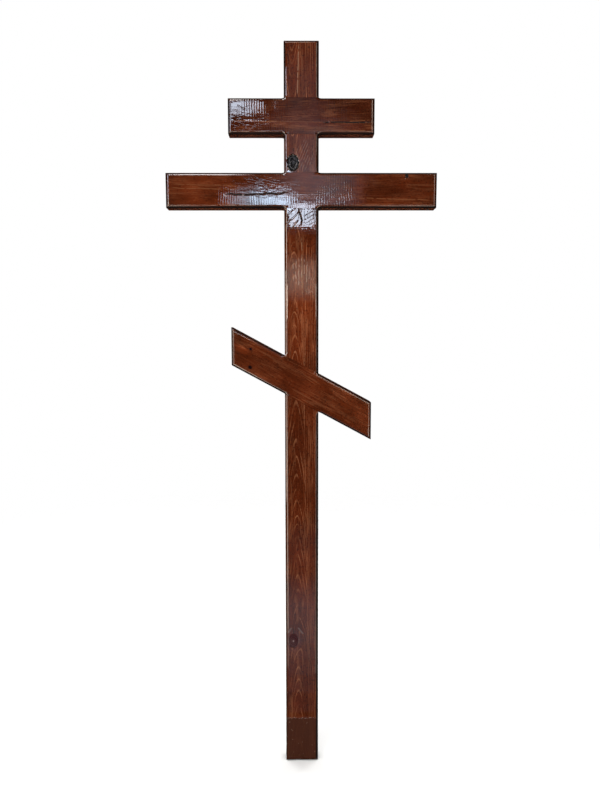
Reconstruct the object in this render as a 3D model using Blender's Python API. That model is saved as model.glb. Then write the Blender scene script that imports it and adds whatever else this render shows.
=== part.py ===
"""Eight-pointed wooden grave cross: a tall post with two level crossbars and a slanted footbar.

The four boards are half-lapped, so that all their front faces and all their back faces lie flush.
One round-over runs along the whole assembled outline, front and back, as a router with a bearing
leaves it: mitred at the outer corners and rounded at the inner ones.

Metres, +Z up. The cross faces -Y. The origin is the middle of the post's foot end, which goes into
the ground.
"""
import math

import bmesh
import bpy
from mathutils import Vector

# Post
POST_HEIGHT = 2.100
POST_WIDTH = 0.097

# Boards: all are planed to one thickness, and the bars to a width of their own
BOARD_THICKNESS = 0.047
LEVEL_BAR_WIDTH = 0.097
FOOTBAR_WIDTH = 0.097

# Bars: how far each reaches across the cross from end to end
UPPER_BAR_LENGTH = 0.407
MAIN_BAR_LENGTH = 0.760
FOOTBAR_SPAN = 0.403
FOOTBAR_SLOPE = math.radians(28.4)

# Places on the post, measured downwards: bare post above the upper bar, bare post between the level
# bars, and the drop from the main bar's bottom edge to the footbar's middle
TOP_CLEARANCE = 0.1515
LEVEL_BAR_CLEARANCE = 0.103
FOOTBAR_DROP = 0.4945

# Half-lap joints: the play between the boards
JOINT_GAP = 0.0003

# Round-over along the assembled outline
ROUND_OVER = 0.008
ROUND_OVER_STEPS = 6
BEARING_RADIUS = 0.00635
CORNER_STEPS = 6

# Sanded edges at the ends of the boards
END_EDGE_RADIUS = 0.003
END_EDGE_STEPS = 3

# How far a cutter stands out of the wood that it cuts
CUTTER_OVERSHOOT = 0.002

# Finishes: stain colour as linear red, green and blue, and the varnish's roughness
POST_FINISH = ((0.105, 0.030, 0.012), 0.22)
UPPER_BAR_FINISH = ((0.075, 0.019, 0.007), 0.20)
MAIN_BAR_FINISH = ((0.105, 0.028, 0.010), 0.20)
FOOTBAR_FINISH = ((0.100, 0.030, 0.012), 0.24)

BACK = BOARD_THICKNESS / 2
FRONT = -BACK
UPPER_BAR_HEIGHT = POST_HEIGHT - TOP_CLEARANCE - LEVEL_BAR_WIDTH / 2
MAIN_BAR_HEIGHT = UPPER_BAR_HEIGHT - LEVEL_BAR_WIDTH - LEVEL_BAR_CLEARANCE
FOOTBAR_HEIGHT = MAIN_BAR_HEIGHT - LEVEL_BAR_WIDTH / 2 - FOOTBAR_DROP


def clear_scene():
    for obj in list(bpy.data.objects):
        bpy.data.objects.remove(obj, do_unlink=True)


def make_collection(name):
    collection = bpy.data.collections.new(name)
    bpy.context.scene.collection.children.link(collection)
    return collection


def wood_finish(name, finish):
    """Stained pine under a coat of gloss varnish."""
    colour, roughness = finish
    material = bpy.data.materials.new(name)
    material.use_nodes = True
    shader = material.node_tree.nodes["Principled BSDF"]
    shader.inputs["Base Color"].default_value = (*colour, 1.0)
    shader.inputs["Roughness"].default_value = roughness
    shader.inputs["Metallic"].default_value = 0.0
    return material


class Bar:
    """One crossbar: its span across the cross, its width, its middle's height and its slope."""

    def __init__(self, span, width, height, slope=0.0):
        self.span = span
        self.width = width
        self.height = height
        self.slope = slope

    def edge_height(self, x, side):
        """Height of the top edge (side 1) or bottom edge (side -1) at x; the left end is the high one."""
        half_upright = self.width / 2 / math.cos(self.slope)
        return self.height - x * math.tan(self.slope) + side * half_upright

    def arm(self, direction, first_side):
        """The four outline corners of one arm, from its joint with the post round to the joint again."""
        root = direction * POST_WIDTH / 2
        tip = direction * self.span / 2
        corners = [(root, first_side), (tip, first_side), (tip, -first_side), (root, -first_side)]
        return [Vector((x, self.edge_height(x, side))) for x, side in corners]


UPPER_BAR = Bar(UPPER_BAR_LENGTH, LEVEL_BAR_WIDTH, UPPER_BAR_HEIGHT)
MAIN_BAR = Bar(MAIN_BAR_LENGTH, LEVEL_BAR_WIDTH, MAIN_BAR_HEIGHT)
FOOTBAR = Bar(FOOTBAR_SPAN, FOOTBAR_WIDTH, FOOTBAR_HEIGHT, FOOTBAR_SLOPE)
BARS_FROM_THE_FOOT = (FOOTBAR, MAIN_BAR, UPPER_BAR)


def assembled_outline():
    """Corners of the whole cross in the X-Z plane, anticlockwise as seen from the front."""
    half = POST_WIDTH / 2
    corners = [Vector((half, 0.0))]
    for bar in BARS_FROM_THE_FOOT:
        corners += bar.arm(1, -1)
    corners += [Vector((half, POST_HEIGHT)), Vector((-half, POST_HEIGHT))]
    for bar in reversed(BARS_FROM_THE_FOOT):
        corners += bar.arm(-1, 1)
    corners.append(Vector((-half, 0.0)))
    return corners


def outline_at(cut):
    """The outline moved inwards by cut, as a bearing bit of that reach leaves it.

    An outer corner stays one point. At an inner corner the bearing stops where it touches both
    walls, and the bit leaves an arc about that place.
    """
    corners = assembled_outline()
    points = []
    for i, corner in enumerate(corners):
        before = (corner - corners[i - 1]).normalized()
        after = (corners[(i + 1) % len(corners)] - corner).normalized()
        out_before = Vector((before.y, -before.x))
        out_after = Vector((after.y, -after.x))
        to_both = (out_before + out_after) / (1 + out_before.dot(out_after))
        if before.cross(after) > 0:
            points.append(corner - cut * to_both)
            continue
        bearing = corner + BEARING_RADIUS * to_both
        start = math.atan2(-out_before.y, -out_before.x)
        turn = out_before.angle_signed(out_after)
        for step in range(CORNER_STEPS + 1):
            angle = start - turn * step / CORNER_STEPS
            reach = BEARING_RADIUS + cut
            points.append(bearing + reach * Vector((math.cos(angle), math.sin(angle))))
    return points


def round_over_profile():
    """The bit's profile as (cut into the wood, depth behind the face), closed outside the wood."""
    arc = []
    for step in range(ROUND_OVER_STEPS + 1):
        angle = math.pi / 2 * step / ROUND_OVER_STEPS
        arc.append(Vector((ROUND_OVER * (1 - math.sin(angle)), ROUND_OVER * (1 - math.cos(angle)))))
    # The first and last facets run on straight until they are well out of the wood
    first = arc[0] - arc[1]
    last = arc[-1] - arc[-2]
    arc[0] = arc[0] + first * (CUTTER_OVERSHOOT / abs(first.y))
    arc[-1] = arc[-1] + last * (CUTTER_OVERSHOOT / abs(last.x))
    outside = -2 * CUTTER_OVERSHOOT
    return arc + [Vector((outside, arc[-1].y)), Vector((outside, arc[0].y))]


def make_edge_cutter(name, face, inwards, collection):
    """The wood that the router takes off all round one face; inwards is the way from it into the boards."""
    mesh = bmesh.new()
    loops = []
    for profile_point in round_over_profile():
        depth = face + inwards * profile_point.y
        loops.append([mesh.verts.new((p.x, depth, p.y)) for p in outline_at(profile_point.x)])
    for here, there in zip(loops, loops[1:] + loops[:1]):
        for i in range(len(here)):
            j = (i + 1) % len(here)
            mesh.faces.new((here[i], here[j], there[j], there[i]))
    bmesh.ops.recalc_face_normals(mesh, faces=mesh.faces)
    return make_cutter(name, mesh, collection)


def make_cutter(name, mesh, collection):
    data = bpy.data.meshes.new(name)
    mesh.to_mesh(data)
    mesh.free()
    cutter = bpy.data.objects.new(name, data)
    cutter.hide_render = True
    cutter.display_type = "WIRE"
    collection.objects.link(cutter)
    return cutter


def box_mesh(size):
    mesh = bmesh.new()
    bmesh.ops.create_cube(mesh, size=1.0)
    bmesh.ops.scale(mesh, vec=size, verts=mesh.verts)
    return mesh


def slope_ends(mesh, slope):
    """Slides a bar's long edges along each other, so that its ends stand upright once it is tilted."""
    for vert in mesh.verts:
        vert.co.x -= vert.co.z * math.tan(slope)


def make_board(name, mesh, material, collection):
    data = bpy.data.meshes.new(name)
    mesh.to_mesh(data)
    mesh.free()
    board = bpy.data.objects.new(name, data)
    data.materials.append(material)
    collection.objects.link(board)
    return board


def sand_end_edges(mesh):
    """Rounds the edges that run from front to back at the ends of a board."""
    edges = [e for e in mesh.edges if abs(e.verts[0].co.y - e.verts[1].co.y) > BACK]
    bmesh.ops.bevel(
        mesh, geom=edges, offset=END_EDGE_RADIUS, offset_type="OFFSET", affect="EDGES",
        segments=END_EDGE_STEPS, profile=0.5, material=-1,
    )


def cut(board, cutter, name):
    modifier = board.modifiers.new(name, "BOOLEAN")
    modifier.operation = "DIFFERENCE"
    modifier.solver = "EXACT"
    modifier.object = cutter


def make_bar(name, bar, material, collection):
    """A bar's board, tilted about the middle of its joint with the post."""
    along = bar.span / math.cos(bar.slope)
    mesh = box_mesh((along, BOARD_THICKNESS, bar.width))
    slope_ends(mesh, bar.slope)
    sand_end_edges(mesh)
    board = make_board(name, mesh, material, collection)
    board.location = (0.0, 0.0, bar.height)
    board.rotation_euler = (0.0, bar.slope, 0.0)
    return board


def make_post(name, material, collection):
    mesh = box_mesh((POST_WIDTH, BOARD_THICKNESS, POST_HEIGHT))
    sand_end_edges(mesh)
    board = make_board(name, mesh, material, collection)
    board.location = (0.0, 0.0, POST_HEIGHT / 2)
    return board


def notch_mesh(width, length, front, back):
    mesh = box_mesh((length, back - front, width))
    bmesh.ops.translate(mesh, vec=(0.0, (front + back) / 2, 0.0), verts=mesh.verts)
    return mesh


def lap_joint(post, board, bar, collection):
    """Notches the front half of the post for the bar, and the back half of the bar for the post."""
    front = FRONT - CUTTER_OVERSHOOT
    back = BACK + CUTTER_OVERSHOOT
    reach = bar.span / math.cos(bar.slope)
    across_post = notch_mesh(bar.width + 2 * JOINT_GAP, reach, front, JOINT_GAP / 2)
    post_notch = make_cutter(f"{board.name}_notch_in_post", across_post, collection)
    post_notch.location = (0.0, 0.0, bar.height)
    post_notch.rotation_euler = (0.0, bar.slope, 0.0)
    cut(post, post_notch, f"notch for {board.name}")

    along_post = notch_mesh(2 * reach, POST_WIDTH + 2 * JOINT_GAP, -JOINT_GAP / 2, back)
    bar_notch = make_cutter(f"post_notch_in_{board.name}", along_post, collection)
    bar_notch.location = (0.0, 0.0, bar.height)
    cut(board, bar_notch, "notch for the post")


def build():
    clear_scene()
    parts = make_collection("wooden_grave_cross")
    cutters = make_collection("cutters")

    post_wood = wood_finish("post_wood", POST_FINISH)
    upper_wood = wood_finish("upper_bar_wood", UPPER_BAR_FINISH)
    main_wood = wood_finish("main_bar_wood", MAIN_BAR_FINISH)
    foot_wood = wood_finish("footbar_wood", FOOTBAR_FINISH)

    post = make_post("upright_post", post_wood, parts)
    boards = {
        make_bar("upper_crossbar", UPPER_BAR, upper_wood, parts): UPPER_BAR,
        make_bar("main_crossbar", MAIN_BAR, main_wood, parts): MAIN_BAR,
        make_bar("slanted_footbar", FOOTBAR, foot_wood, parts): FOOTBAR,
    }
    for board, bar in boards.items():
        lap_joint(post, board, bar, cutters)

    front_cutter = make_edge_cutter("front_edge_cutter", FRONT, 1, cutters)
    back_cutter = make_edge_cutter("back_edge_cutter", BACK, -1, cutters)
    for board in (post, *boards):
        cut(board, front_cutter, "front round-over")
        cut(board, back_cutter, "back round-over")


build()
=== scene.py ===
"""Dresses a wooden grave cross: four stained and gloss-varnished pine boards, on a pale floor.

Each board is cut finely out of its solid's own mesh and given the slight unevenness of a planed,
sanded and varnished board. Its wood is a solid pattern about a pith line of its own, so the grain,
the knots and the end grain agree on every side.
"""
import math
from dataclasses import dataclass

import bmesh
import bpy
from bpy.props import FloatProperty, FloatVectorProperty, PointerProperty
from mathutils import Matrix, Vector, noise


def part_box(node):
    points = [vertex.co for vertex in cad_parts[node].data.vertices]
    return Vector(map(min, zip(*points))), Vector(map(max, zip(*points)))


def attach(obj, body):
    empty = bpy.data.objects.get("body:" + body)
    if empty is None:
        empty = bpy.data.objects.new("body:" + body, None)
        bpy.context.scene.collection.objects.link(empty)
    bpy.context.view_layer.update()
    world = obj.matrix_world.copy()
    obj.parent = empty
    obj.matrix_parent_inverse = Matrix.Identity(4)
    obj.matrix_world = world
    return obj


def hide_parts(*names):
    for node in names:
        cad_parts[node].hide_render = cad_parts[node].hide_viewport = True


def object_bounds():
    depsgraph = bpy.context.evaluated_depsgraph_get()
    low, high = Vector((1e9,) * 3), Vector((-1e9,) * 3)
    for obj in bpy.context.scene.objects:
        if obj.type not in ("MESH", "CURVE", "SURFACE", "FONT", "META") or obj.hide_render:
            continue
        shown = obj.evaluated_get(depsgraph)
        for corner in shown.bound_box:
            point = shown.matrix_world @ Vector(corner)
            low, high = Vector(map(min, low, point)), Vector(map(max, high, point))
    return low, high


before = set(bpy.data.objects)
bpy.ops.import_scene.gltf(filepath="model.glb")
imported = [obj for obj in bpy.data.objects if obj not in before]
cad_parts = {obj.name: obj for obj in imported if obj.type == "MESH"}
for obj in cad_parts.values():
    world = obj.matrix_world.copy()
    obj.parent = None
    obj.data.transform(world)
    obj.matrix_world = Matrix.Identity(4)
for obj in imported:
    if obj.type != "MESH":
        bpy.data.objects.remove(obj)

bl_info = {
    "name": "Wooden Grave Cross",
    "version": (1, 0, 0),
    "blender": (4, 5, 0),
    "location": "3D View > Sidebar > Grave Cross",
    "description": "Dresses the boards of a wooden grave cross and sets the stage round it",
    "category": "Object",
}

CAD_BOX = [list(corner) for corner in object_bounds()]
FRONT = CAD_BOX[0][1]
BACK = CAD_BOX[1][1]
POST_LOW, POST_HIGH = (Vector(corner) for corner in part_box("upright_post"))
# All four boards are as wide as the post
HALF_BOARD_WIDTH = (POST_HIGH.x - POST_LOW.x) / 2

# Colours of single marks in the wood, of the glints and highlights painted on it, and of the painted shade
# on the rounded edges
CRACK = (0.004, 0.0015, 0.001)
SAPWOOD = (0.22, 0.075, 0.030)
UPPER_GLUE = (0.33, 0.17, 0.10)
LOWER_GLUE = (0.30, 0.15, 0.08)
PORE = (0.012, 0.003, 0.002)
KNOT_FLARE = (0.115, 0.065, 0.055)
KNOT_BARK = (0.0015, 0.0014, 0.0018)
DEAD_KNOT_PAINTED_GLINT = (0.30, 0.27, 0.28)
SOUND_KNOT_PAINTED_GLINT = (0.60, 0.44, 0.42)
RIDGE_CREST_HIGHLIGHT = (0.55, 0.36, 0.27)
EDGE_PAINTED_SHADE = (0.004, 0.002, 0.0015)
DIP_BEAD = (0.30, 0.22, 0.19)
DIP_SPECK = (0.22, 0.13, 0.09)


@dataclass
class Oval:
    """A place on the front face, and how far something reaches from it along the grain and across."""

    x: float
    z: float
    along: float
    across: float


@dataclass
class Patch(Oval):
    """A soft-edged oval whose colour tone multiplies: uneven stain, and painted shade in the dark ones under
    the highlights.
    """

    tone: float


@dataclass
class Knot(Oval):
    """A knot that runs through a board from front to back.

    dead is 0 for a sound knot and 1 for a black one with bark round it, and tone multiplies its
    colour. The knot stands proud of the faces by swell, its varnish slopes by tilt along the grain,
    rings is how many rings it has, and painted_glint is how strong the painted highlights are:
    glints on a dead knot, and a bright middle in a sound one.
    """

    dead: float = 0.0
    tone: float = 1.0
    swell: float = 0.0
    rings: float = 3.0
    painted_glint: float = 0.0
    tilt: float = 0.0


@dataclass
class Ridges(Oval):
    """Fine parallel ridges of varnish in a soft-edged oval on the front face.

    slant is the angle, in degrees, from the board's grain to the direction in which one ridge
    follows another, pitch their distance, height their relief, and light how strong the highlight
    painted on their crests is.
    """

    slant: float
    pitch: float
    height: float
    light: float = 0.0


@dataclass
class Streak:
    """A narrow line on the front face, near enough along the grain: a crack or a part of the figure.

    start and end are its X and Z there, width is half its width, and wander is how far it strays to
    either side. One that is sunk is a crack or a chip, which no varnish covers.
    """

    start: tuple
    end: tuple
    width: float
    wander: float
    colour: tuple = CRACK
    sunk: float = 0.0


@dataclass
class Stave:
    """One of the two strips that a board is glued up from: its pith line, its rings and how light it is.

    The pith line lies across from the board's middle and behind it, or in front where behind is
    negative, and drifts across for every metre along the board. The taper is how much the rings
    narrow for every metre away from their turning place, which draws them out to flames on the face.
    """

    across: float
    behind: float
    drift: float
    taper: float
    ring_width: float
    tone: float = 1.0


@dataclass
class Board:
    """A board: its node, the direction of its grain, its two staves and what grew or cracked in it.

    Its own axes are X along the grain, Y from front to back and Z across the grain. The glue line
    that parts its staves is given by two points on the front face, and glue is how strongly it
    shows. figure is how far the pith lines stray from straight, and turning is where along the board
    the flames turn round. contrast is how strongly the rings show, grain the fine fibres and pores,
    and mottle the soft clouds in the stain. ripple and peel are the heights of the planer's ripples
    and of the unevenness in the varnish. left_edge is how much of the painted shade on the rounded
    edges the left one keeps under the height pale_below, where 1 is as much as the others.
    """

    node: str
    slot: str
    turn: float
    glue_line: tuple
    glue: float
    staves: tuple
    figure: float
    contrast: float
    grain: float
    mottle: float
    ripple: float
    peel: float
    seed: float
    turning: float = 1.0
    knots: tuple = ()
    streaks: tuple = ()
    patches: tuple = ()
    ridges: tuple = ()
    left_edge: float = 1.0
    pale_below: float = 0.0

    def __post_init__(self):
        low, high = (Vector(corner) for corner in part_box(self.node))
        self.centre = (low + high) / 2
        self.axes = [Matrix.Rotation(self.turn, 3, "Y") @ Vector(axis) for axis in Matrix.Identity(3)]

    def local(self, point):
        """A point in the board's own axes, from its middle."""
        return Vector([axis.dot(point - self.centre) for axis in self.axes])

    def on_front(self, x, z):
        """A point of the front face in the board's own axes."""
        return self.local(Vector((x, FRONT, z)))


UPRIGHT = math.radians(-90)
LEVEL = 0.0
FOOTBAR_SLOPE = math.radians(28.4)

POST = Board(
    "upright_post", "post_wood", UPRIGHT, glue_line=((-0.0080, 2.09), (0.0040, 1.30)), glue=0.2,
    staves=(
        Stave(-0.090, 0.030, 0.0, 0.01, 0.0052, tone=0.97),
        Stave(0.0172, -0.007, 0.0087, 0.11, 0.0050),
    ),
    figure=0.010, contrast=0.72, grain=0.7, mottle=0.9, ripple=0.000003, peel=0.00007, seed=3.1,
    turning=0.75, left_edge=0.25, pale_below=1.83,
    knots=(
        Knot(
            -0.0237, 1.7737, along=0.0225, across=0.0172,
            dead=1.0, swell=0.0006, rings=1.7, painted_glint=1.0, tilt=0.14,
        ),
        Knot(-0.0256, 0.3832, along=0.0215, across=0.0160, swell=0.0004, rings=3.4, painted_glint=0.3, tilt=0.16),
    ),
    streaks=(
        Streak((-0.007, 1.652), (0.001, 1.603), width=0.0030, wander=0.0060, sunk=0.0020),
        Streak((-0.0071, 2.090), (-0.0111, 1.950), width=0.0016, wander=0.0012, colour=UPPER_GLUE),
        Streak((0.0005, 1.575), (0.0022, 1.405), width=0.0013, wander=0.0008, colour=LOWER_GLUE),
        Streak((-0.0237, 1.795), (-0.022, 1.814), width=0.0013, wander=0.0004),
        Streak((-0.0256, 0.403), (-0.0256, 0.424), width=0.0014, wander=0.0003),
        Streak((-0.043, 0.407), (-0.031, 0.426), width=0.0042, wander=0.0016, colour=KNOT_FLARE),
        Streak((0.004, 0.404), (-0.013, 0.426), width=0.0042, wander=0.0016, colour=KNOT_FLARE),
    ),
    ridges=(
        Ridges(-0.028, 1.628, 0.034, 0.022, slant=50, pitch=0.0170, height=0.00034),
        Ridges(0.026, 1.622, 0.024, 0.020, slant=32, pitch=0.0090, height=0.00012),
        Ridges(0.006, 1.634, 0.024, 0.020, slant=90, pitch=0.0085, height=0.00004),
        Ridges(-0.003, 1.475, 0.042, 0.030, slant=90, pitch=0.0075, height=0.00009, light=0.8),
        Ridges(0.010, 1.797, 0.046, 0.028, slant=68, pitch=0.0066, height=0.00003, light=0.22),
        Ridges(0.020, 1.450, 0.046, 0.022, slant=90, pitch=0.0062, height=0.00005),
    ),
    patches=(
        Patch(0.00, 1.33, 0.18, 0.08, tone=1.95),
        Patch(0.00, 1.50, 0.16, 0.08, tone=1.30),
        Patch(0.03, 1.53, 0.08, 0.04, tone=1.25),
        Patch(0.00, 0.96, 0.22, 0.08, tone=1.03),
        Patch(0.00, 0.30, 0.30, 0.08, tone=0.70),
        # Painted shade: darker wood at the foot of the varnish's highlight under the main crossbar
        Patch(0.00, 1.632, 0.040, 0.10, tone=0.40),
        Patch(-0.01, 2.02, 0.10, 0.05, tone=1.15),
    ),
)
UPPER_BAR = Board(
    "upper_crossbar", "upper_bar_wood", LEVEL, glue_line=((-0.20, 1.8860), (0.20, 1.8815)), glue=0.35,
    staves=(
        Stave(-0.100, 0.030, 0.02, 0.02, 0.0024, tone=1.42),
        Stave(0.110, 0.050, 0.01, 0.03, 0.0024, tone=1.12),
    ),
    figure=0.012, contrast=0.45, grain=0.5, mottle=1.1, ripple=0.000027, peel=0.00009, seed=11.7,
    streaks=(
        Streak((0.054, 1.8825), (0.198, 1.8825), width=0.0028, wander=0.0012, sunk=0.0002),
        Streak((-0.185, 1.8870), (-0.060, 1.8850), width=0.0017, wander=0.0020, colour=SAPWOOD),
        Streak((0.130, 1.8850), (0.190, 1.8890), width=0.0012, wander=0.0010, colour=SAPWOOD),
        Streak((0.060, 1.8620), (0.190, 1.8610), width=0.0014, wander=0.0006, colour=SAPWOOD),
    ),
    patches=(
        Patch(-0.11, 1.89, 0.10, 0.06, tone=1.20),
        # Painted shade: darker wood in the gaps of the varnish's highlight
        Patch(-0.18, 1.91, 0.07, 0.05, tone=0.5),
        Patch(0.13, 1.92, 0.07, 0.05, tone=0.76),
    ),
    ridges=(Ridges(-0.182, 1.905, 0.032, 0.045, slant=65, pitch=0.0130, height=0.00006),),
)
MAIN_BAR = Board(
    "main_crossbar", "main_bar_wood", LEVEL, glue_line=((-0.38, 1.6900), (0.38, 1.6840)), glue=0.1,
    staves=(
        Stave(-0.090, 0.030, 0.02, 0.03, 0.0026),
        Stave(0.110, 0.040, 0.03, 0.04, 0.0026),
    ),
    figure=0.016, contrast=0.42, grain=0.5, mottle=1.4, ripple=0.000016, peel=0.00006, seed=23.3,
    streaks=(
        Streak((-0.222, 1.6860), (-0.030, 1.6920), width=0.0032, wander=0.0075, sunk=0.0012),
        # A small chip at the top edge
        Streak((0.2895, 1.7390), (0.2990, 1.7390), width=0.0100, wander=0.0020, sunk=0.0008),
        Streak((-0.375, 1.7060), (-0.170, 1.7020), width=0.0016, wander=0.0020, colour=SAPWOOD),
        Streak((-0.360, 1.7150), (-0.180, 1.7130), width=0.0013, wander=0.0020, colour=SAPWOOD),
        Streak((0.150, 1.6790), (0.370, 1.6720), width=0.0014, wander=0.0030, colour=SAPWOOD),
    ),
    ridges=(
        Ridges(0.095, 1.687, 0.060, 0.070, slant=0, pitch=0.0068, height=0.00006, light=0.14),
        Ridges(-0.065, 1.672, 0.080, 0.034, slant=5, pitch=0.0050, height=0.00003),
        Ridges(-0.120, 1.705, 0.090, 0.030, slant=80, pitch=0.0070, height=0.00004),
    ),
    patches=(
        Patch(-0.27, 1.70, 0.13, 0.07, tone=1.45),
        # Painted shade: darker wood in the gaps of the varnish's highlight
        Patch(-0.11, 1.675, 0.12, 0.045, tone=0.55),
        Patch(0.165, 1.715, 0.030, 0.035, tone=1.25),
        Patch(0.245, 1.675, 0.060, 0.030, tone=1.20),
        Patch(0.330, 1.720, 0.060, 0.040, tone=0.85),
    ),
)
FOOTBAR = Board(
    "slanted_footbar", "footbar_wood", FOOTBAR_SLOPE,
    glue_line=((-0.20, 1.250), (0.20, 1.030)), glue=0.1,
    staves=(
        Stave(-0.100, 0.030, 0.02, 0.02, 0.0024, tone=1.10),
        Stave(0.070, 0.050, 0.02, 0.02, 0.0024, tone=1.16),
    ),
    figure=0.012, contrast=0.35, grain=0.55, mottle=1.6, ripple=0.000005, peel=0.00006, seed=37.9,
    knots=(
        Knot(-0.1461, 1.2576, along=0.0048, across=0.0028, tone=0.30),
        Knot(-0.1483, 1.2049, along=0.0050, across=0.0042, tone=0.24),
    ),
    patches=(Patch(-0.171, 1.257, 0.034, 0.014, tone=2.10),),
)


def length_setting(name, description, default, least=0.0):
    return FloatProperty(name=name, description=description, default=default, min=least, unit="LENGTH")


def colour_setting(name, description, default):
    return FloatVectorProperty(
        name=name, description=description, default=default, size=3, subtype="COLOR", min=0.0, max=1.0,
    )


class CrossSizes(bpy.types.PropertyGroup):
    """Sizes of the boards' surfaces."""

    slice_along: length_setting("Slice Along", "Length of the mesh's cells along the grain", 0.008, 0.002)
    slice_across: length_setting("Slice Across", "Width of the mesh's cells across the grain", 0.0032, 0.001)
    unevenness: length_setting("Unevenness", "How far a planed face strays from flat", 0.00014)
    cupping: length_setting("Cupping", "How far a board's middle stands proud of its edges", 0.00006)
    edge_wear: length_setting("Edge Wear", "How much wood handling took off the rounded edges", 0.00020)
    dipped_height: length_setting("Dipped Height", "How far up the post its darker foot reaches", 0.1383)


class CrossColours(bpy.types.PropertyGroup):
    """Colours of the stained wood."""

    earlywood: colour_setting(
        "Earlywood", "Soft wood between the rings' lines, which takes most stain", (0.088, 0.0150, 0.0038),
    )
    latewood: colour_setting(
        "Latewood", "The rings' dense lines, which take least stain", (0.320, 0.115, 0.050),
    )
    upper_earlywood: colour_setting(
        "Upper Bar Earlywood", "Earlywood of the darker upper crossbar", (0.052, 0.0090, 0.0030),
    )
    knot: colour_setting("Knot", "Sound knot wood", (0.064, 0.021, 0.024))
    dead_knot: colour_setting("Dead Knot", "Blackened knot wood", (0.047, 0.047, 0.052))
    dipped: colour_setting("Dipped Foot", "Matter coat over the post's foot end", (0.052, 0.0160, 0.0085))


class StageLook(bpy.types.PropertyGroup):
    """The stage round the cross."""

    floor_radius: length_setting("Floor Radius", "How far the pale floor reaches", 9.0, 1.0)
    fade_start: length_setting("Fade Start", "Distance at which the floor starts to thin out", 0.5)
    fade_end: length_setting(
        "Fade End", "Distance at which the floor has gone over into the backdrop", 3.6, 0.1,
    )
    floor_colour: colour_setting("Floor", "Pale floor", (0.93, 0.93, 0.92))
    background: colour_setting("Background", "Pale backdrop behind the cross", (1.0, 1.0, 1.0))


class Value:
    """A node's output that takes part in sums: each sum adds the Math node that it needs."""

    def __init__(self, shading, socket):
        self.shading = shading
        self.socket = socket

    def math(self, operation, *others):
        return self.shading.math(operation, self, *others)

    def __add__(self, other):
        return self.math("ADD", other)

    __radd__ = __add__

    def __sub__(self, other):
        return self.math("SUBTRACT", other)

    def __rsub__(self, other):
        return self.shading.math("SUBTRACT", other, self)

    def __mul__(self, other):
        return self.math("MULTIPLY", other)

    def __truediv__(self, other):
        return self.math("DIVIDE", other)

    def __rtruediv__(self, other):
        return self.shading.math("DIVIDE", other, self)

    def __abs__(self):
        return self.math("ABSOLUTE")

    def most(self, other):
        return self.math("MAXIMUM", other)

    def root(self):
        return self.math("SQRT")

    def fraction(self):
        return self.math("FRACT")

    def sine(self):
        return self.math("SINE")


class Shading:
    """The nodes of one material or of the world."""

    # Sockets of a Mix node that is set to colours
    FIRST_COLOUR = 6
    SECOND_COLOUR = 7
    MIXED_COLOUR = 2

    def __init__(self, owner):
        owner.use_nodes = True
        self.tree = owner.node_tree
        self.tree.nodes.clear()

    def node(self, kind, settings=None, inputs=None):
        """Adds a node: its settings first, then the values or links of its sockets."""
        node = self.tree.nodes.new(kind)
        for setting, value in (settings or {}).items():
            setattr(node, setting, value)
        for socket, value in (inputs or {}).items():
            source = value.socket if isinstance(value, Value) else value
            if isinstance(source, bpy.types.NodeSocket):
                self.tree.links.new(source, node.inputs[socket])
            else:
                node.inputs[socket].default_value = source
        return node

    def value(self, node, output):
        return Value(self, node.outputs[output])

    def math(self, operation, *values):
        node = self.node("ShaderNodeMath", {"operation": operation}, dict(enumerate(values)))
        return self.value(node, 0)

    def ramp(self, value, low, high):
        """0 where value is under low, 1 over high, with a smooth step between; low may be the higher."""
        node = self.node(
            "ShaderNodeMapRange", {"interpolation_type": "SMOOTHSTEP"},
            {"Value": value, "From Min": low, "From Max": high},
        )
        return self.value(node, "Result")

    def point(self, x, y, z):
        return self.value(self.node("ShaderNodeCombineXYZ", None, {"X": x, "Y": y, "Z": z}), "Vector")

    def noise(self, point, detail, roughness):
        """Smooth noise from 0 to 1 at a point that is already scaled."""
        node = self.node(
            "ShaderNodeTexNoise", {"noise_dimensions": "3D"},
            {"Vector": point, "Scale": 1.0, "Detail": detail, "Roughness": roughness},
        )
        return self.value(node, "Fac")

    def line_noise(self, place, detail=2.0):
        """Smooth noise from 0 to 1 along a line."""
        node = self.node(
            "ShaderNodeTexNoise", {"noise_dimensions": "1D"}, {"W": place, "Scale": 1.0, "Detail": detail},
        )
        return self.value(node, "Fac")

    def blend(self, factor, first, second, way="MIX"):
        """Two colours mixed, or combined in another way, by a factor."""
        node = self.node(
            "ShaderNodeMix", {"data_type": "RGBA", "blend_type": way, "clamp_factor": True},
            {
                "Factor": factor,
                self.FIRST_COLOUR: colour_value(first),
                self.SECOND_COLOUR: colour_value(second),
            },
        )
        return self.value(node, self.MIXED_COLOUR)

    def mix_shaders(self, factor, first, second):
        """The first shader's node where the factor is 0, the second's where it is 1."""
        inputs = {0: factor, 1: first.outputs[0], 2: second.outputs[0]}
        return self.node("ShaderNodeMixShader", None, inputs)


def colour_value(colour):
    """A colour as a node's socket takes it: a link, or four numbers."""
    return colour if isinstance(colour, Value) else (*colour, 1.0)


# What every noise is on average
NOISE_MEAN = 0.5


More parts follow.
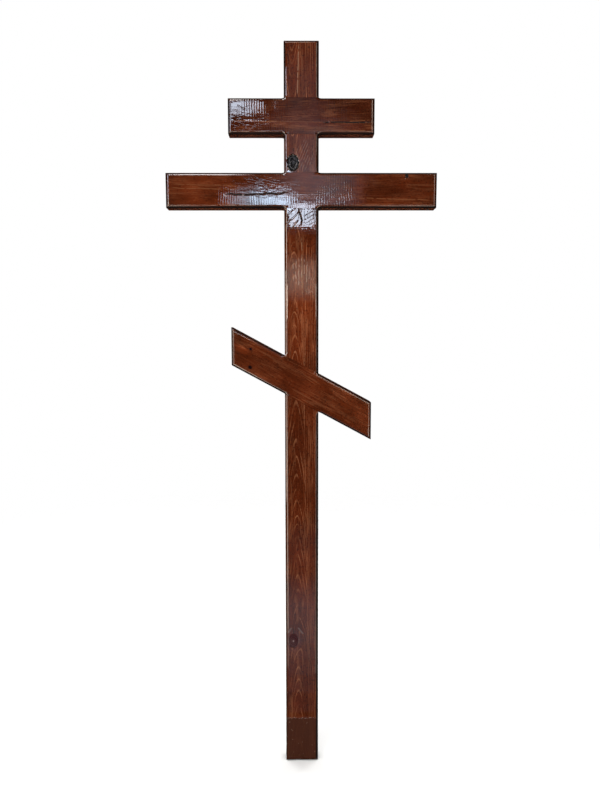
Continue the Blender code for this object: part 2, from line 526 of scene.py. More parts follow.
class WoodPattern:
    """The solid pattern of one board's wood, worked out from Object coordinates."""

    # How far behind the front face what lies on it alone ends
    FRONT_DEPTH = 0.010

    # How far the glue line strays, and half the width over which one stave goes over into the other
    GLUE_WANDER = 0.003
    STAVE_SEAM = 0.0003

    # How far the rings bend in small waves, and how wide and how far they part round a knot
    RING_BEND = 0.003
    PARTING_REACH = 0.8
    PARTING = 0.85

    # How sharply the flames turn round, and how much the rings' widths differ
    FLAME_TIP = 0.0025
    RING_DIFFERENCE = 2.5

    def __init__(self, shading, board):
        self.s = shading
        self.board = board
        coordinates = shading.node("ShaderNodeTexCoord")
        mapping = shading.node(
            "ShaderNodeMapping", {"vector_type": "TEXTURE"},
            {
                "Vector": coordinates.outputs["Object"],
                "Location": board.centre,
                "Rotation": (0.0, board.turn, 0.0),
            },
        )
        axes = shading.node("ShaderNodeSeparateXYZ", None, {"Vector": mapping.outputs["Vector"]})
        self.along = shading.value(axes, "X")
        self.depth = shading.value(axes, "Y")
        self.across = shading.value(axes, "Z")
        normal = shading.node("ShaderNodeSeparateXYZ", None, {"Vector": coordinates.outputs["Normal"]})
        self.facing = abs(shading.value(normal, "Y"))
        self.upwards = shading.value(normal, "Z")
        self.rightwards = shading.value(normal, "X")
        self.near_front = shading.ramp(self.depth, 0.0, -self.FRONT_DEPTH)

    def noise(self, along, across, shift=0.0, detail=2.0, roughness=0.5):
        """Smooth noise from 0 to 1, with so many waves a metre along the grain and across it.

        The shift sets it apart from the board's other noises.
        """
        place = self.s.point(
            self.along * along + (self.board.seed + shift), self.depth * across, self.across * across,
        )
        return self.s.noise(place, detail, roughness)

    def spots(self, along, across, shift, low, high, detail=1.0):
        """A noise made into spots: 0 where it is under low and 1 over high."""
        return self.s.ramp(self.noise(along, across, shift, detail), low, high)

    def offset(self, oval):
        """How far a point lies from an oval's middle, along the grain and across it."""
        middle = self.board.on_front(oval.x, oval.z)
        return self.along - middle.x, self.across - middle.z

    def oval_distance(self, oval):
        """Distance from an oval's middle, which is 1 at its rim."""
        before, aside = self.offset(oval)
        before = before / oval.along
        aside = aside / oval.across
        return (before * before + aside * aside).root()

    def second_stave(self):
        """0 in the first stave and 1 in the second, and the distance to the glue line between them."""
        start, end = (self.board.on_front(x, z) for x, z in self.board.glue_line)
        slope = (end.z - start.z) / (end.x - start.x)
        wander = (self.s.line_noise(self.along * 9.0 + self.board.seed) - NOISE_MEAN) * self.GLUE_WANDER
        line = (self.along - start.x) * slope + start.z + wander
        beside = self.across - line
        return self.s.ramp(beside, -self.STAVE_SEAM, self.STAVE_SEAM), abs(beside)

    def of_stave(self, side, name):
        """One of the staves' numbers: the first stave's on side 0, the second's on side 1."""
        first, second = (getattr(stave, name) for stave in self.board.staves)
        return side * (second - first) + first

    def rings(self, side):
        """The phase of the growth rings: its whole part counts rings outwards from the pith."""
        board = self.board
        bend = (self.noise(along=5.0, across=14.0) - NOISE_MEAN) * (board.figure * 0.5)
        bend = bend + (self.noise(along=26.0, across=60.0, shift=13.0) - NOISE_MEAN) * self.RING_BEND
        across = self.across + bend
        for knot in board.knots:
            distance = self.oval_distance(knot)
            parting = 1.0 / (distance * distance * self.PARTING_REACH).most(1.0)
            across = across - self.offset(knot)[1] * parting * self.PARTING
        wave = self.s.line_noise(self.along * 2.4 + side * 9.0 + board.seed, detail=1.0)
        wave = (wave - NOISE_MEAN) * board.figure
        from_pith = across - self.along * self.of_stave(side, "drift") - self.of_stave(side, "across")
        behind = self.depth - self.of_stave(side, "behind") - wave
        past = self.along - board.turning
        taper = (past * past + self.FLAME_TIP).root() * self.of_stave(side, "taper")
        radius = (from_pith * from_pith + behind * behind).root() - taper
        radius = radius / self.of_stave(side, "ring_width")
        uneven = self.s.line_noise(radius * 0.22 + side * 5.0 + board.seed) * self.RING_DIFFERENCE
        return radius + uneven


class Finish:
    """Stained pine under gloss varnish on one board, built up from the wood outwards.

    It keeps the colour, the relief and the roughness so far, and where cracks break the varnish.
    """

    # How light the wood is without its noises, what they take off it, and what they add to it
    BASE_TONE = 0.54
    MOTTLE_LOSS = 0.5
    GRAIN_LOSS = 0.41
    FIBRE_TONE = 0.40
    DASH_TONE = 0.42
    BLOTCH_TONE = 0.95

    # How strongly the fine marks show in a board of full grain
    HAIR_STRENGTH = 0.42
    SPECK_STRENGTH = 0.20
    PORE_STRENGTH = 0.75

    # Heights of the relief that shows through the varnish
    LATEWOOD_HEIGHT = 0.000014
    FIBRE_HEIGHT = 0.000006
    DASH_HEIGHT = 0.000012
    GLUE_DEPTH = 0.00003
    BEAD_HEIGHT = 0.00025

    # Distance between the planer's ripples, and how far they run out of true
    RIPPLE_PITCH = 0.0068
    RIPPLE_DRIFT = 7.0

    # How uneven a knot's outline is, and how much more so a dead one's rings
    KNOT_WOBBLE = 0.35
    DEAD_WOBBLE = 2.5

    # How light a sound knot's dark rings are, what a dead one's lose, and the relief of the rings
    DARK_RING = 0.5
    DEAD_RING_LOSS = 0.35
    RING_SHARE_OF_SWELL = 0.15
    HALO_STRENGTH = 0.45

    # The dipped foot's upper edge, and how well the coat, its bead and its specks cover the wood
    RAGGEDNESS = 0.006
    DIP_COVER = 0.85
    BEAD_COVER = 0.6
    DIP_SPECK_COVER = 0.4

    # How dark the painted shade on the rounded edges is and how dull they are, and over what height the left
    # one's painted shade fades
    EDGE_SHADE_COVER = 0.90
    EDGE_DULLNESS = 0.85
    PALE_FADE = 0.01

    # The varnish's roughness, what the blotches add to it, and what the dipped foot does
    ROUGHNESS = 0.01
    BLOTCH_ROUGHNESS = 0.03
    DIPPED_ROUGHNESS = 0.14
    BARE_ROUGHNESS = 0.6
    BARE_SPECULAR = 0.1

    def __init__(self, wood, colours, earlywood):
        self.wood = wood
        self.s = wood.s
        self.board = wood.board
        self.colours = colours
        self.colour = earlywood
        self.blotches = wood.noise(along=13.0, across=28.0, shift=9.0, detail=3.0)
        self.roughness = self.ROUGHNESS + self.blotches * self.BLOTCH_ROUGHNESS
        self.relief = 0.0
        self.cracks = 0.0

    def paint(self, mask, colour):
        """Puts a colour over what is there already, as far as the mask says."""
        self.colour = self.s.blend(mask, self.colour, colour)

    def add_wood(self):
        """The growth rings and the fine grain, under a stain that took unevenly."""
        s = self.s
        wood = self.wood
        board = self.board
        side, from_glue = wood.second_stave()
        part = wood.rings(side).fraction()
        strength = wood.spots(along=12.0, across=40.0, shift=7.0, low=0.36, high=0.66, detail=2.0)
        late = s.ramp(part, 0.70, 0.86) * s.ramp(part, 0.98, 0.90) * (strength * board.contrast)
        fibres = wood.noise(along=40.0, across=500.0, shift=2.0, detail=3.0, roughness=0.65)
        dashes = wood.spots(along=24.0, across=190.0, shift=5.0, low=0.30, high=0.70, detail=3.0)
        clouds = wood.noise(along=12.0, across=20.0, shift=3.0)

        hairs = abs(wood.noise(along=7.0, across=150.0, shift=19.0, detail=1.0) - NOISE_MEAN)
        hairs = s.ramp(hairs, 0.07, 0.02) * (board.grain * self.HAIR_STRENGTH)
        hairs = hairs * wood.spots(along=14.0, across=60.0, shift=20.0, low=0.45, high=0.62)
        # Pale specks in the latewood's colour, which also stand for painted glints in the varnish
        specks = wood.spots(along=170.0, across=270.0, shift=21.0, low=0.60, high=0.72)
        specks = specks * (board.grain * self.SPECK_STRENGTH)
        pores = wood.spots(along=150.0, across=260.0, shift=22.0, low=0.43, high=0.34)
        self.paint(late.most(hairs).most(specks), self.colours.latewood)
        self.paint(pores * (board.grain * self.PORE_STRENGTH), PORE)

        level = self.BASE_TONE - board.mottle * self.MOTTLE_LOSS - board.grain * self.GRAIN_LOSS
        tone = level + (fibres * self.FIBRE_TONE + dashes * self.DASH_TONE) * board.grain
        tone = tone + self.blotches * self.BLOTCH_TONE + clouds * board.mottle
        tone = tone * wood.of_stave(side, "tone")
        for patch in board.patches:
            inside = s.ramp(wood.oval_distance(patch), 1.0, 0.1) * wood.near_front
            tone = tone * (inside * (patch.tone - 1.0) + 1.0)
        self.colour = s.blend(1.0, self.colour, s.point(tone, tone, tone), "MULTIPLY")

        glue = s.ramp(from_glue, 0.0014, 0.0003)
        self.paint(glue * board.glue, self.colours.latewood)
        self.relief = late * self.LATEWOOD_HEIGHT + fibres * self.FIBRE_HEIGHT + dashes * self.DASH_HEIGHT
        self.relief = self.relief - glue * self.GLUE_DEPTH

    def add_knot(self, knot):
        """A knot with its rings, its bark if it is dead, the highlights painted on it and the darker wood
        round it.
        """
        s = self.s
        wood = self.wood
        distance = wood.oval_distance(knot)
        wobble = (wood.noise(along=110.0, across=110.0, shift=4.0) - NOISE_MEAN) * self.KNOT_WOBBLE
        edge = distance + wobble
        inside = s.ramp(edge, 1.08, 0.90)
        rings = s.ramp((edge * knot.rings + wobble * (knot.dead * self.DEAD_WOBBLE)).fraction(), 0.25, 0.75)
        light = [
            (sound * (1 - knot.dead) + dead * knot.dead) * knot.tone
            for sound, dead in zip(self.colours.knot, self.colours.dead_knot)
        ]
        dark = [share * (self.DARK_RING - knot.dead * self.DEAD_RING_LOSS) for share in light]
        heart = s.blend(rings, light, dark)
        heart = s.blend(s.ramp(abs(edge - 0.90), 0.22, 0.06) * knot.dead, heart, KNOT_BARK)
        # Painted highlights: glints on a dead knot and a bright middle in a sound one
        glint_mask = wood.spots(along=230.0, across=330.0, shift=10.0, low=0.62, high=0.72)
        glint_mask = glint_mask * s.ramp(distance, 0.95, 0.6) * (knot.dead * knot.painted_glint)
        heart = s.blend(glint_mask, heart, DEAD_KNOT_PAINTED_GLINT)
        middle = s.ramp(distance, 0.24, 0.06) * (knot.painted_glint * (1 - knot.dead))
        heart = s.blend(middle, heart, SOUND_KNOT_PAINTED_GLINT)
        halo = s.ramp(edge, 1.9, 0.95) * self.HALO_STRENGTH
        self.paint(halo, [share * knot.tone for share in self.colours.knot])
        self.paint(inside, heart)
        slope = wood.offset(knot)[0] * inside * knot.tilt
        self.relief = self.relief + inside * rings * (knot.swell * self.RING_SHARE_OF_SWELL) - slope

    def add_streak(self, streak):
        """A crack, which also breaks the varnish, or a line of the figure."""
        mask = streak_mask(self.wood, streak)
        self.paint(mask, streak.colour)
        self.relief = self.relief - mask * streak.sunk
        if streak.sunk:
            self.cracks = mask.most(self.cracks)

    def add_varnish(self):
        """The planer's faint ripples, and the uneven flow of the varnish."""
        wood = self.wood
        board = self.board
        chatter = wood.spots(along=40.0, across=12.0, shift=6.0, low=0.30, high=0.65, detail=2.0)
        turns = wood.along * (2 * math.pi / self.RIPPLE_PITCH) + self.blotches * self.RIPPLE_DRIFT
        ripples = turns.sine() * chatter * board.ripple
        runs = wood.noise(along=24.0, across=110.0, shift=12.0) * board.peel
        peel = wood.noise(along=55.0, across=90.0, shift=1.0) * board.peel
        self.relief = self.relief + ripples + peel + runs

    def add_ridges(self, ridges):
        """Fine parallel ridges, with a highlight painted on their crests if they have one."""
        crest = ridge_mask(self.wood, ridges)
        self.relief = self.relief + crest * ridges.height
        if ridges.light:
            # Painted highlight along the ridges' crests
            self.paint(crest * ridges.light, RIDGE_CREST_HIGHLIGHT)

    def dip_foot(self, height):
        """The darker and matter coat over the foot end, with a ragged bead along its upper edge."""
        s = self.s
        wood = self.wood
        ragged = (wood.noise(along=90.0, across=90.0, shift=6.0) - NOISE_MEAN) * self.RAGGEDNESS
        edge = wood.along - self.board.on_front(0.0, height).x + ragged
        dip = s.ramp(edge, 0.0012, -0.0012)
        bead = s.ramp(abs(edge), 0.004, 0.0)
        flecks = wood.spots(along=260.0, across=260.0, shift=8.0, low=0.52, high=0.66)
        specks = wood.spots(along=110.0, across=240.0, shift=17.0, low=0.70, high=0.78)
        self.paint(dip * self.DIP_COVER, self.colours.dipped)
        self.paint(bead * flecks * self.BEAD_COVER, DIP_BEAD)
        self.paint(dip * specks * self.DIP_SPECK_COVER, DIP_SPECK)
        self.roughness = self.roughness + dip * self.DIPPED_ROUGHNESS
        self.relief = self.relief + bead * self.BEAD_HEIGHT

    def painted_edge_shade(self):
        """1 on the rounded edges, which are painted dark as shade, and 0 on the faces and the narrow sides.
        """
        s = self.s
        wood = self.wood
        board = self.board
        rounded = s.ramp(wood.facing, 0.955, 0.88).most(s.ramp(wood.upwards, 0.24, 0.38))
        if board.left_edge < 1.0:
            limit = board.on_front(0.0, board.pale_below).x
            below = s.ramp(wood.along, limit + self.PALE_FADE, limit - self.PALE_FADE)
            bare = s.ramp(wood.rightwards, -0.10, -0.25) * below
            rounded = rounded.most(s.ramp(wood.rightwards, 0.10, 0.26))
            rounded = rounded * (1.0 - bare * (1.0 - board.left_edge))
        return rounded * s.ramp(wood.facing, 0.02, 0.35)

    def connect(self):
        """Varnished wood, and dull wood in the cracks and on the rounded edges, which are painted dark as
        shade.
        """
        s = self.s
        rounded = self.painted_edge_shade()
        # Painted shade: the rounded edges turn near-black, standing for the dark reflections on them
        self.paint(rounded * self.EDGE_SHADE_COVER, EDGE_PAINTED_SHADE)
        bump = s.node("ShaderNodeBump", None, {"Strength": 1.0, "Distance": 1.0, "Height": self.relief})
        surface = {"Base Color": self.colour, "Normal": bump.outputs["Normal"]}
        varnished = s.node("ShaderNodeBsdfPrincipled", None, {**surface, "Roughness": self.roughness})
        bare_inputs = {"Roughness": self.BARE_ROUGHNESS, "Specular IOR Level": self.BARE_SPECULAR}
        bare = s.node("ShaderNodeBsdfPrincipled", None, {**surface, **bare_inputs})
        mix = s.mix_shaders((rounded * self.EDGE_DULLNESS).most(self.cracks), varnished, bare)
        s.node("ShaderNodeOutputMaterial", None, {"Surface": mix.outputs[0]})


# How far ridges run out of true
RIDGE_DRIFT = 7.0

# Waves a metre in a streak's line, gaps a metre, and what sets one streak's noise apart from the next
STREAK_WAVES = 22.0
STREAK_GAPS = 70.0
STREAK_SHIFT = 90.0

# Share of a streak's width that is at full strength, and of its length over which it runs out
STREAK_CORE = 0.3
STREAK_TAPER = 0.12


def ridge_mask(wood, ridges):
    """1 on the crests of fine parallel ridges, which wander and break off."""
    s = wood.s
    before, aside = wood.offset(ridges)
    slant = math.radians(ridges.slant)
    following = before * math.cos(slant) + aside * math.sin(slant)
    wander = wood.noise(along=30.0, across=30.0, shift=15.0) * RIDGE_DRIFT
    wave = s.ramp((following * (2 * math.pi / ridges.pitch) + wander).sine(), 0.45, 1.0)
    broken = wood.spots(along=70.0, across=70.0, shift=16.0, low=0.38, high=0.55)
    return wave * broken * s.ramp(wood.oval_distance(ridges), 1.0, 0.75) * wood.near_front


def streak_mask(wood, streak):
    """1 in a streak and 0 beside it; the streak runs out at both ends and breaks off in places."""
    s = wood.s
    start = wood.board.on_front(*streak.start)
    end = wood.board.on_front(*streak.end)
    share = (wood.along - start.x) / (end.x - start.x)
    path = share * (end.z - start.z) + start.z
    wander = s.line_noise(wood.along * STREAK_WAVES + streak.start[1] * STREAK_SHIFT)
    wander = (wander - NOISE_MEAN) * (2 * streak.wander)
    taper = s.ramp(share, 0.0, STREAK_TAPER) * s.ramp(share, 1.0, 1.0 - STREAK_TAPER)
    line = s.ramp(abs(wood.across - path - wander), streak.width, streak.width * STREAK_CORE)
    unbroken = s.ramp(s.line_noise(wood.along * STREAK_GAPS, detail=1.0), 0.25, 0.45)
    return line * taper * unbroken * wood.near_front


def board_material(board, colours, dipped_height):
    """A board's finish: its wood, what grew and cracked in it, its varnish and its edges, in that order."""
    material = bpy.data.materials.new(board.slot)
    earlywood = colours.upper_earlywood if board is UPPER_BAR else colours.earlywood
    finish = Finish(WoodPattern(Shading(material), board), colours, earlywood)
    finish.add_wood()
    for knot in board.knots:
        finish.add_knot(knot)
    for streak in board.streaks:
        finish.add_streak(streak)
    finish.add_varnish()
    for ridges in board.ridges:
        finish.add_ridges(ridges)
    if board is POST:
        finish.dip_foot(dipped_height)
    finish.connect()
    return material


# A board's own axes, as places in its list of them
ALONG = 0
DEPTH = 1
ACROSS = 2

# How far from a board's edges its flat face starts, and a little further
EDGE_MARGINS = (0.0080, 0.0088)

# How coarse the slices from front to back are against those across the grain
DEPTH_SLICE_RATIO = 1.5

# Points and cuts that are closer to each other than this are one
MERGE_DISTANCE = 1e-5
CUT_DISTANCE = 1e-6

# Faces that meet flatter than the first are joined, and edges sharper than the second stay sharp
FLAT_ANGLE = math.radians(0.2)
SHARP_ANGLE = math.radians(32)

# Waves a metre in a planed face, along the grain and across it, and what lowers them into the solid
FACE_WAVES_ALONG = 7.0
FACE_WAVES_ACROSS = 16.0
FACE_LOWERING = 0.6

# Shares of the way from a board's middle to its face where the unevenness starts and is full
NEAR_FACE_START = 0.45
NEAR_FACE_FULL = 0.66

# How quickly a knot's swelling dies away, and how many worn spots a metre an edge has
SWELL_FALL = 0.7
RUB_WAVES = 55.0

# What sets the noise of the back face apart from that of the front
BACK_SHIFT = 5.0


def merged_copy(node):
    """A new mesh from a node's loose triangles, with its points merged and its flat faces joined."""
    mesh = bmesh.new()
    mesh.from_mesh(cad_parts[node].data)
    bmesh.ops.remove_doubles(mesh, verts=mesh.verts, dist=MERGE_DISTANCE)
    bmesh.ops.dissolve_limit(
        mesh, angle_limit=FLAT_ANGLE, verts=mesh.verts, edges=mesh.edges, use_dissolve_boundaries=False,
    )
    return mesh


def slice_mesh(mesh, board, axis, pitch, margins=()):
    """Cuts the mesh square to one of the board's axes: evenly, and at given margins from its ends."""
    direction = board.axes[axis]
    places = [direction.dot(vert.co - board.centre) for vert in mesh.verts]
    low, high = min(places), max(places)
    count = max(1, round((high - low) / pitch))
    cuts = [low + (high - low) * i / count for i in range(1, count)]
    cuts = [cut for cut in cuts if not margins or low + margins[-1] < cut < high - margins[-1]]
    cuts += [low + margin for margin in margins] + [high - margin for margin in margins]
    for cut in cuts:
        bmesh.ops.bisect_plane(
            mesh, geom=mesh.verts[:] + mesh.edges[:] + mesh.faces[:], dist=CUT_DISTANCE,
            plane_co=board.centre + direction * cut, plane_no=direction,
        )


def smoothstep(value, low, high):
    """0 where value is under low, 1 over high, with a smooth step between; low may be the higher."""
    share = min(max((value - low) / (high - low), 0.0), 1.0)
    return share * share * (3 - 2 * share)


def face_rise(place, side, board, sizes):
    """How far a board's face stands proud at a place, from its waves, its cupping and its knots."""
    spot = Vector((place.x * FACE_WAVES_ALONG, board.seed + side * BACK_SHIFT, place.z * FACE_WAVES_ACROSS))
    rise = sizes.unevenness * (noise.noise(spot) - FACE_LOWERING)
    rise -= sizes.cupping * (place.z / HALF_BOARD_WIDTH) ** 2
    for knot in board.knots:
        apart = place - board.on_front(knot.x, knot.z)
        spread = (apart.x / knot.along) ** 2 + (apart.z / knot.across) ** 2
        rise += knot.swell * math.exp(-spread * SWELL_FALL)
    return rise


def weather(mesh, board, sizes):
    """Gives the planed faces their slight unevenness, and takes a little off the rounded edges."""
    mesh.normal_update()
    moves = []
    for vert in mesh.verts:
        place = board.local(vert.co)
        side = 1.0 if vert.co.y > 0 else -1.0
        near_face = smoothstep(abs(vert.co.y), BACK * NEAR_FACE_START, BACK * NEAR_FACE_FULL)
        rise = face_rise(place, side, board, sizes)
        slant = abs(vert.normal.y)
        on_edge = smoothstep(slant, 0.05, 0.30) * smoothstep(slant, 0.995, 0.95) * near_face
        rub = noise.noise(place * RUB_WAVES + Vector((board.seed,) * 3)) * 0.5 + 0.5
        move = Vector((0.0, side * rise * near_face, 0.0))
        moves.append(move - vert.normal * (sizes.edge_wear * rub * on_edge))
    for vert, move in zip(mesh.verts, moves):
        vert.co += move


def dress_board(context, board):
    """Makes the finished board that stands for its node."""
    sizes = context.scene.cross_sizes
    # The footbar's ends are cut upright, so no cut square to its grain follows their edges
    end_margins = () if board is FOOTBAR else EDGE_MARGINS
    mesh = merged_copy(board.node)
    slice_mesh(mesh, board, ALONG, sizes.slice_along, end_margins)
    slice_mesh(mesh, board, DEPTH, sizes.slice_across * DEPTH_SLICE_RATIO)
    slice_mesh(mesh, board, ACROSS, sizes.slice_across, EDGE_MARGINS)
    weather(mesh, board, sizes)
    data = bpy.data.meshes.new(f"{board.node}_dressed")
    mesh.to_mesh(data)
    mesh.free()
    data.shade_smooth()
    data.set_sharp_from_angle(angle=SHARP_ANGLE)
    piece = bpy.data.objects.new(f"{board.node}_dressed", data)
    context.scene.collection.objects.link(piece)
    data.materials.append(board_material(board, context.scene.cross_colours, sizes.dipped_height))
    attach(piece, "root")
    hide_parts(board.node)


class BoardOperator:
    """What the operators of the four boards share."""

    def execute(self, context):
        dress_board(context, self.board)
        return {"FINISHED"}


class GRAVECROSS_OT_upright_post(BoardOperator, bpy.types.Operator):
    """Dress the full-height post"""

    bl_idname = "grave_cross.upright_post"
    bl_label = "Upright Post"
    board = POST


class GRAVECROSS_OT_upper_crossbar(BoardOperator, bpy.types.Operator):
    """Dress the short level bar near the top"""

    bl_idname = "grave_cross.upper_crossbar"
    bl_label = "Upper Crossbar"
    board = UPPER_BAR


class GRAVECROSS_OT_main_crossbar(BoardOperator, bpy.types.Operator):
    """Dress the long level bar"""

    bl_idname = "grave_cross.main_crossbar"
    bl_label = "Main Crossbar"
    board = MAIN_BAR


class GRAVECROSS_OT_slanted_footbar(BoardOperator, bpy.types.Operator):
    """Dress the slanted bar low on the post"""

    bl_idname = "grave_cross.slanted_footbar"
    bl_label = "Slanted Footbar"
    board = FOOTBAR


# The camera's place, its turns in radians, and its focal length in pixels of the 800-pixel-high picture
CAMERA_PLACE = Vector((-0.01936, -1.87977, 1.3014))
CAMERA_PITCH = -0.10248
CAMERA_YAW = -0.00779
CAMERA_ROLL = -0.0016
FOCAL_PIXELS = 646.3
PICTURE_HEIGHT = 800
SENSOR_WIDTH = 36.0

# A camera looks straight down until it is tipped up by this
TIP_UP = math.radians(90)


def add_camera(context):
    data = bpy.data.cameras.new("camera")
    data.sensor_fit = "AUTO"
    data.sensor_width = SENSOR_WIDTH
    data.lens = FOCAL_PIXELS / PICTURE_HEIGHT * SENSOR_WIDTH
    camera = bpy.data.objects.new("camera", data)
    yaw = Matrix.Rotation(CAMERA_YAW, 4, "Z")
    pitch = Matrix.Rotation(TIP_UP + CAMERA_PITCH, 4, "X")
    roll = Matrix.Rotation(CAMERA_ROLL, 4, "Z")
    camera.matrix_world = Matrix.Translation(CAMERA_PLACE) @ yaw @ pitch @ roll
    context.scene.collection.objects.link(camera)
    context.scene.camera = camera


@dataclass
class Card:
    """A rectangular soft light: its middle, what it faces, its width, height, brightness and colour.

    One of several steps is a stack of ever larger rectangles, brightest at its middle.
    """

    name: str
    place: tuple
    target: tuple
    width: float
    height: float
    radiance: float
    colour: tuple = (1.0, 1.0, 1.0)
    steps: int = 1

    # Size of a stack's smallest rectangle against the card's, and how far each lies behind the last
    SMALLEST = 0.5
    SET_BACK = 0.01

    def add(self, context, mirrored):
        """Adds the light: one that only the varnish mirrors, or one that only lights the colours."""
        for i in range(self.steps):
            spread = 1.0 if self.steps == 1 else self.SMALLEST + i / (self.steps - 1)
            lamp = self.lamp(spread, self.SET_BACK * i)
            lamp.visible_camera = False
            lamp.visible_glossy = mirrored
            lamp.visible_diffuse = not mirrored
            context.scene.collection.objects.link(lamp)

    def lamp(self, spread, set_back):
        data = bpy.data.lights.new(self.name, "AREA")
        data.shape = "RECTANGLE"
        data.size = self.width * spread
        data.size_y = self.height * spread
        data.energy = self.radiance / self.steps * math.pi * data.size * data.size_y
        data.color = self.colour
        lamp = bpy.data.objects.new(self.name, data)
        facing = Vector(self.target) - Vector(self.place)
        lamp.location = Vector(self.place) - facing.normalized() * set_back
        lamp.rotation_euler = facing.to_track_quat("-Z", "Y").to_euler()
        return lamp


COOL = (0.74, 0.83, 1.0)
BLUE = (0.62, 0.79, 1.0)
WARM = (1.0, 0.88, 0.74)
TAN = (1.0, 0.76, 0.62)

# Broad light on every side, which the varnish doesn't mirror
MIDDLE = (0.0, 0.0, 1.2)
BROAD_LIGHTS = (
    Card("key_light", (-2.2, -3.6, 3.2), MIDDLE, 2.4, 2.4, 5.0),
    Card("fill_light", (2.8, -3.2, 2.0), MIDDLE, 2.4, 2.4, 3.0),
    Card("back_light_left", (-3.0, 3.4, 2.6), MIDDLE, 2.4, 2.4, 4.0),
    Card("back_light_right", (3.0, 3.4, 2.6), MIDDLE, 2.4, 2.4, 4.0),
    Card("top_light", (0.0, 0.0, 5.0), MIDDLE, 3.0, 3.0, 8.5),
    Card("under_light", (0.0, 1.0, 0.05), (0.0, 0.0, 1.7), 2.0, 0.8, 1.3),
)
MIRRORED_LIGHTS = (
    # Small cards that show in the varnish of the front faces
    Card("high_window", (-0.50, -3.74, 3.19), (-0.13, 0, 1.93), 0.28, 0.16, 17.0, COOL),
    Card("wide_window", (-0.18, -3.74, 2.41), (-0.07, 0, 1.67), 0.26, 0.16, 25.0, BLUE),
    Card("side_window", (-0.42, -3.74, 2.42), (-0.15, 0, 1.68), 0.26, 0.14, 8.0, BLUE),
    Card("low_window", (0.03, -3.74, 2.275), (0.01, 0, 1.62), 0.27, 0.14, 19.0, COOL),
    # Paler areas that fade to their rims
    Card("high_wall", (0.07, -3.74, 3.28), (0.02, 0, 1.93), 0.34, 0.50, 0.4, COOL, steps=4),
    Card("middle_wall", (0.13, -3.74, 2.82), (0.04, 0, 1.80), 0.46, 0.36, 0.85, COOL, steps=4),
    Card("pale_wall", (0.22, -3.74, 2.46), (0.07, 0, 1.70), 0.46, 0.40, 1.5, BLUE, steps=4),
    Card("low_wall", (0.06, -3.74, 1.77), (0.02, 0, 1.45), 0.44, 0.26, 2.1, WARM, steps=5),
    Card("floor_glow", (0.0, -0.95, 0.02), (0.0, -0.95, 2.0), 0.6, 0.85, 0.75, COOL, steps=5),
    Card("floor_sheen", (0.0, -1.9, 0.02), (0.0, -1.9, 2.0), 0.6, 1.0, 0.15, COOL, steps=4),
    # Strips that show in the rounded edges
    Card("left_strip", (-1.5, -2.7, 0.2), (-0.5, 0.0, 0.2), 0.8, 2.4, 6.5, WARM),
    Card("middle_strip_left", (-1.5, -2.7, 1.82), (-0.5, 0.0, 1.6), 0.8, 0.84, 13.0, WARM),
    Card("high_strip_left", (-1.5, -2.7, 2.72), (-0.5, 0.0, 1.9), 0.8, 0.96, 13.0, COOL),
    Card("left_wall", (-2.6, -1.14, 0.9), (0.0, 0.0, 0.9), 1.36, 1.7, 10.0, TAN),
    Card("right_strip", (1.5, -2.7, 1.3), (0.5, 0.0, 1.2), 0.7, 2.4, 6.0, WARM),
    Card("top_strip", (-0.72, -2.6, 4.1), (-0.3, 0.0, 1.7), 0.55, 1.6, 20.0),
    Card("post_top_strip", (0.0, -2.6, 4.7), (0.0, 0.0, 2.1), 0.25, 1.2, 4.0, WARM),
    Card("high_strip_right", (1.25, -2.6, 2.95), (0.2, 0.0, 1.1), 0.5, 0.8, 12.0, WARM),
    Card("under_strip_left", (-0.72, -2.6, 1.52), (-0.2, 0.0, 1.7), 1.0, 0.22, 14.0, WARM),
    Card("under_strip_right", (0.77, -2.6, 1.52), (0.2, 0.0, 1.7), 1.0, 0.22, 8.0, WARM),
    Card("low_strip_left", (-1.1, -2.4, -0.15), (-0.2, 0.0, 1.5), 0.8, 1.7, 3.5, WARM),
    Card("low_strip_right", (0.95, -2.4, -0.15), (0.2, 0.0, 1.5), 0.8, 1.7, 3.5, WARM),
)

# What the varnish mirrors between the cards
DIM_SURROUNDINGS = (0.022, 0.018, 0.014)

FLOOR_SEGMENTS = 96


def floor_material(look):
    """A pale floor that thins out into the backdrop."""
    material = bpy.data.materials.new("pale_floor")
    s = Shading(material)
    coordinates = s.node("ShaderNodeTexCoord")
    reach = s.node("ShaderNodeVectorMath", {"operation": "LENGTH"}, {0: coordinates.outputs["Object"]})
    far = s.ramp(s.value(reach, "Value"), look.fade_start, look.fade_end)
    pale = s.node("ShaderNodeBsdfDiffuse", None, {"Color": colour_value(look.floor_colour)})
    mix = s.mix_shaders(far, pale, s.node("ShaderNodeBsdfTransparent"))
    s.node("ShaderNodeOutputMaterial", None, {"Surface": mix.outputs[0]})
    return material


def add_floor(context, look):
    mesh = bmesh.new()
    bmesh.ops.create_circle(mesh, cap_ends=True, segments=FLOOR_SEGMENTS, radius=look.floor_radius)
    data = bpy.data.meshes.new("floor")
    mesh.to_mesh(data)
    mesh.free()
    floor = bpy.data.objects.new("floor", data)
    data.materials.append(floor_material(look))
    floor.visible_glossy = False
    context.scene.collection.objects.link(floor)


def add_world(context, look):
    """A pale backdrop for the camera, with dim surroundings for the varnish to mirror."""
    world = bpy.data.worlds.new("studio")
    s = Shading(world)
    path = s.node("ShaderNodeLightPath")
    dim = s.node("ShaderNodeBackground", None, {"Color": colour_value(DIM_SURROUNDINGS)})
    pale = s.node("ShaderNodeBackground", None, {"Color": colour_value(look.background)})
    mix = s.mix_shaders(path.outputs["Is Camera Ray"], dim, pale)
    s.node("ShaderNodeOutputWorld", None, {"Surface": mix.outputs[0]})
    context.scene.world = world


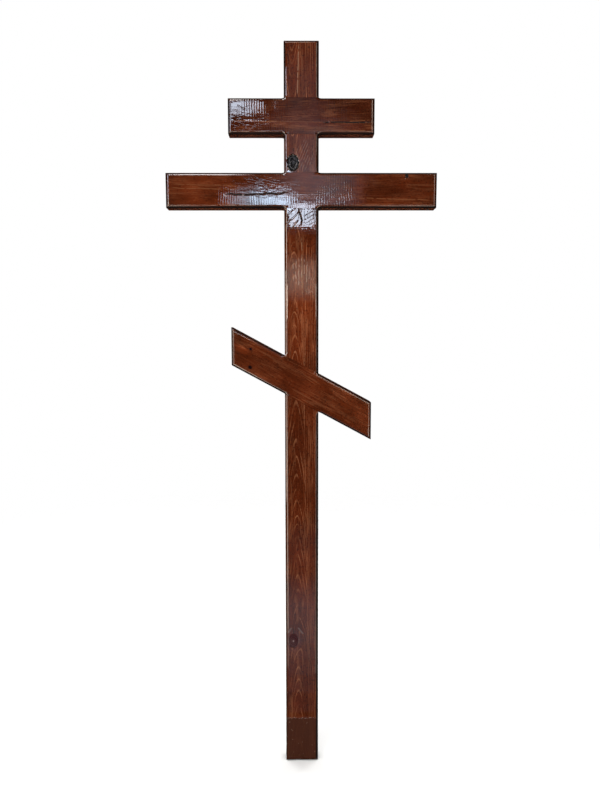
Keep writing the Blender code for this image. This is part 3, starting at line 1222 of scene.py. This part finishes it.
class GRAVECROSS_OT_stage(bpy.types.Operator):
    """Set the pale floor, the backdrop, the soft lights and the camera"""

    bl_idname = "grave_cross.stage"
    bl_label = "Stage"

    def execute(self, context):
        look = context.scene.stage_look
        add_camera(context)
        add_floor(context, look)
        add_world(context, look)
        for card in BROAD_LIGHTS:
            card.add(context, mirrored=False)
        for card in MIRRORED_LIGHTS:
            card.add(context, mirrored=True)
        context.scene.view_settings.view_transform = "Standard"
        return {"FINISHED"}


class GRAVECROSS_PT_panel(bpy.types.Panel):
    """Lists the boards, the stage and their settings"""

    bl_idname = "GRAVECROSS_PT_panel"
    bl_label = "Grave Cross"
    bl_space_type = "VIEW_3D"
    bl_region_type = "UI"
    bl_category = "Grave Cross"

    def draw(self, context):
        for operator in OPERATORS:
            self.layout.operator(operator.bl_idname)
        for scene_name in GROUPS:
            group = getattr(context.scene, scene_name)
            box = self.layout.box()
            for name in group.__annotations__:
                box.prop(group, name)


OPERATORS = (
    GRAVECROSS_OT_stage,
    GRAVECROSS_OT_upright_post,
    GRAVECROSS_OT_upper_crossbar,
    GRAVECROSS_OT_main_crossbar,
    GRAVECROSS_OT_slanted_footbar,
)
GROUPS = {"cross_sizes": CrossSizes, "cross_colours": CrossColours, "stage_look": StageLook}


def register():
    for group in GROUPS.values():
        bpy.utils.register_class(group)
    for cls in (*OPERATORS, GRAVECROSS_PT_panel):
        bpy.utils.register_class(cls)
    for name, group in GROUPS.items():
        setattr(bpy.types.Scene, name, PointerProperty(type=group))


def unregister():
    for name in GROUPS:
        delattr(bpy.types.Scene, name)
    for cls in (GRAVECROSS_PT_panel, *reversed(OPERATORS)):
        bpy.utils.unregister_class(cls)
    for group in GROUPS.values():
        bpy.utils.unregister_class(group)


def main():
    register()
    bpy.ops.grave_cross.stage()
    bpy.ops.grave_cross.upright_post()
    bpy.ops.grave_cross.upper_crossbar()
    bpy.ops.grave_cross.main_crossbar()
    bpy.ops.grave_cross.slanted_footbar()


if __name__ == "__main__":
    main()
